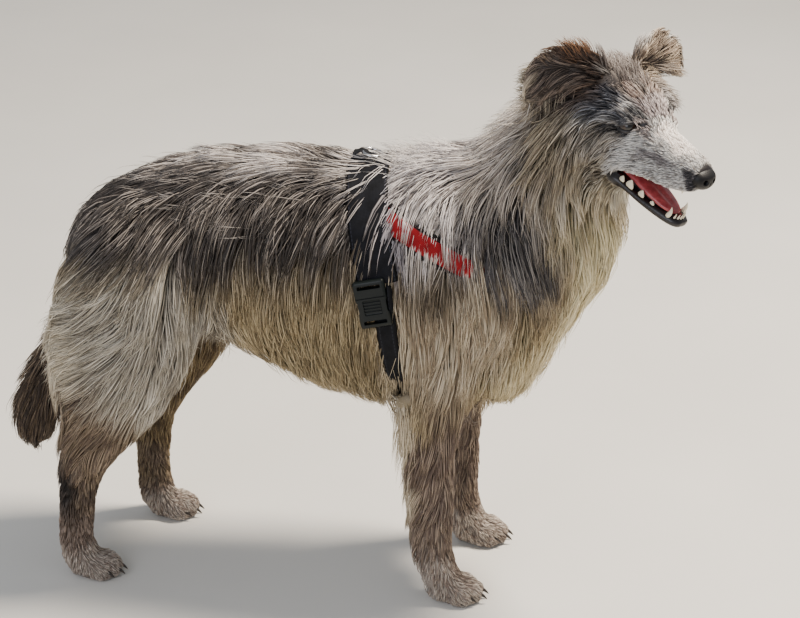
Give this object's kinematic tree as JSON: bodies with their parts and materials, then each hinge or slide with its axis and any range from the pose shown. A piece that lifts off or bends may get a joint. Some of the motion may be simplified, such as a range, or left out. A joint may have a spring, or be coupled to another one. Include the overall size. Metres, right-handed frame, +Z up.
{
  "type": "dog",
  "caption": "Long-coated merle herding dog standing on all fours with its head turned aside and its mouth open, wearing a webbing walking harness.",
  "frame": {"origin": "on the floor, under the middle of the dog's overall box", "axes": "+X from tail to breast, +Y to the dog's left, +Z up"},
  "size_m": [0.8196, 0.2398, 0.6637],
  "materials": {
    "coat": "long soft merle hair, matte",
    "nose_leather": "fine-pebbled, moist",
    "eye": "wet gloss",
    "tongue": "moist satin",
    "claw": "satin horn",
    "webbing": "woven, matte",
    "red_fabric": "padded weave, matte",
    "plastic": "fine-textured moulding",
    "steel": "polished wire"
  },
  "bodies": {
    "root": {"barrel": "coat", "chest": "coat", "claw_fore_left_1": "claw", "claw_fore_left_2": "claw", "claw_fore_left_3": "claw", "claw_fore_left_4": "claw", "claw_fore_right_1": "claw", "claw_fore_right_2": "claw", "claw_fore_right_3": "claw", "claw_fore_right_4": "claw", "claw_hind_left_1": "claw", "claw_hind_left_2": "claw", "claw_hind_left_3": "claw", "claw_hind_left_4": "claw", "claw_hind_right_1": "claw", "claw_hind_right_2": "claw", "claw_hind_right_3": "claw", "claw_hind_right_4": "claw", "ear_left": "coat", "ear_right": "coat", "eye_left": "eye", "eye_right": "eye", "fore_leg_left": "coat", "fore_leg_right": "coat", "fore_paw_left": "coat", "fore_paw_right": "coat", "harness_buckle_left": "plastic", "harness_buckle_right": "plastic", "harness_chest_band": "red_fabric", "harness_girth": "webbing", "harness_ring": "steel", "harness_saddle": "webbing", "head": "coat", "hind_paw_left": "coat", "hind_paw_right": "coat", "lower_hind_leg_left": "coat", "lower_hind_leg_right": "coat", "lower_jaw": "coat", "neck": "coat", "nose": "nose_leather", "rump": "coat", "tail": "coat", "thigh_left": "coat", "thigh_right": "coat", "tongue": "tongue"}
  },
  "joints": []
}
